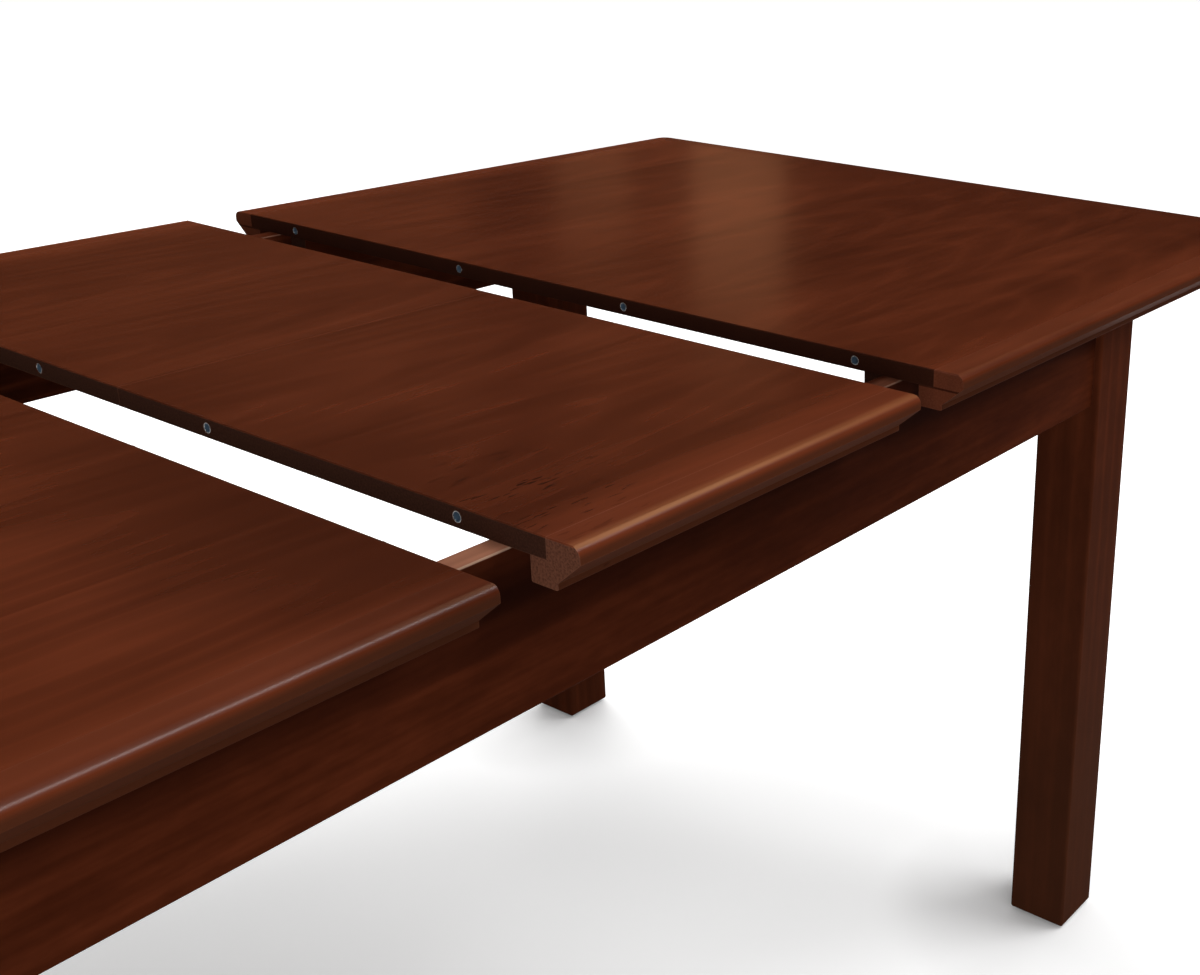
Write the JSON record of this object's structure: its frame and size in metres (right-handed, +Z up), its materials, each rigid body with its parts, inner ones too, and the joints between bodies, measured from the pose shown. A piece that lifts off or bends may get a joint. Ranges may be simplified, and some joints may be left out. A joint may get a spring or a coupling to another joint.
{
  "type": "butterfly leaf table",
  "caption": "Rectangular extending dining table: two top halves slide apart on a four-legged apron frame and a folding leaf lies between them, located by pins in sockets.",
  "frame": {"origin": "on the floor, under the middle of the table", "axes": "+X along the table's length, +Y across it to the back, +Z up"},
  "size_m": [1.858, 0.956, 0.76],
  "materials": {
    "top_boards": "dark mahogany stain under satin lacquer",
    "edge_moulding": "dark mahogany stain under satin lacquer",
    "frame_wood": "dark mahogany stain under satin lacquer",
    "inner_wood": "stained, unpolished",
    "steel": "zinc-plated steel",
    "glide_nylon": "brown nylon"
  },
  "bodies": {
    "frame": {"leg_front_left": "frame_wood", "leg_front_right": "frame_wood", "leg_back_left": "frame_wood", "leg_back_right": "frame_wood", "apron_front": "frame_wood", "apron_back": "frame_wood", "apron_left_end": "frame_wood", "apron_right_end": "frame_wood", "corner_block_front_left": "inner_wood", "corner_block_front_right": "inner_wood", "corner_block_back_left": "inner_wood", "corner_block_back_right": "inner_wood", "leaf_bearer_left": "inner_wood", "leaf_bearer_right": "inner_wood", "hanger_bolts": "steel", "bolt_washers": "steel", "bolt_nuts": "steel", "foot_glides": "glide_nylon", "apron_dowels": "inner_wood"},
    "left_top": {"left_top_panel": "top_boards", "left_top_edge_front": "edge_moulding", "left_top_edge_back": "edge_moulding", "left_top_edge_end": "edge_moulding", "left_runner_front": "inner_wood", "left_runner_back": "inner_wood", "left_runner_screws": "steel", "left_top_pins": "steel"},
    "right_top": {"right_top_panel": "top_boards", "right_top_edge_front": "edge_moulding", "right_top_edge_back": "edge_moulding", "right_top_edge_end": "edge_moulding", "right_runner_front": "inner_wood", "right_runner_back": "inner_wood", "right_runner_screws": "steel", "right_top_sockets": "steel"},
    "leaf_front_half": {"leaf_front_panel": "top_boards", "leaf_front_edge": "edge_moulding", "leaf_front_sockets": "steel", "leaf_front_pins": "steel", "leaf_front_hinge_barrels": "steel"},
    "leaf_back_half": {"leaf_back_panel": "top_boards", "leaf_back_edge": "edge_moulding", "leaf_back_sockets": "steel", "leaf_back_pins": "steel", "leaf_back_hinge_barrels": "steel"}
  },
  "joints": [
    {"name": "left_top_slide", "type": "slide", "parent": "frame", "child": "left_top", "axis": [-1, 0, 0], "range_m": [-0.0595, 0]},
    {"name": "right_top_slide", "type": "slide", "parent": "frame", "child": "right_top", "axis": [1, 0, 0], "range_m": [-0.0595, 0]},
    {"name": "leaf_lift", "type": "slide", "parent": "frame", "child": "leaf_front_half", "axis": [0, 0, 1], "range_m": [0, 0.08]},
    {"name": "leaf_fold", "type": "hinge", "parent": "leaf_front_half", "child": "leaf_back_half", "pos_m": [0, 0, 0.76015], "axis": [1, 0, 0], "range_deg": [0, 180]}
  ]
}
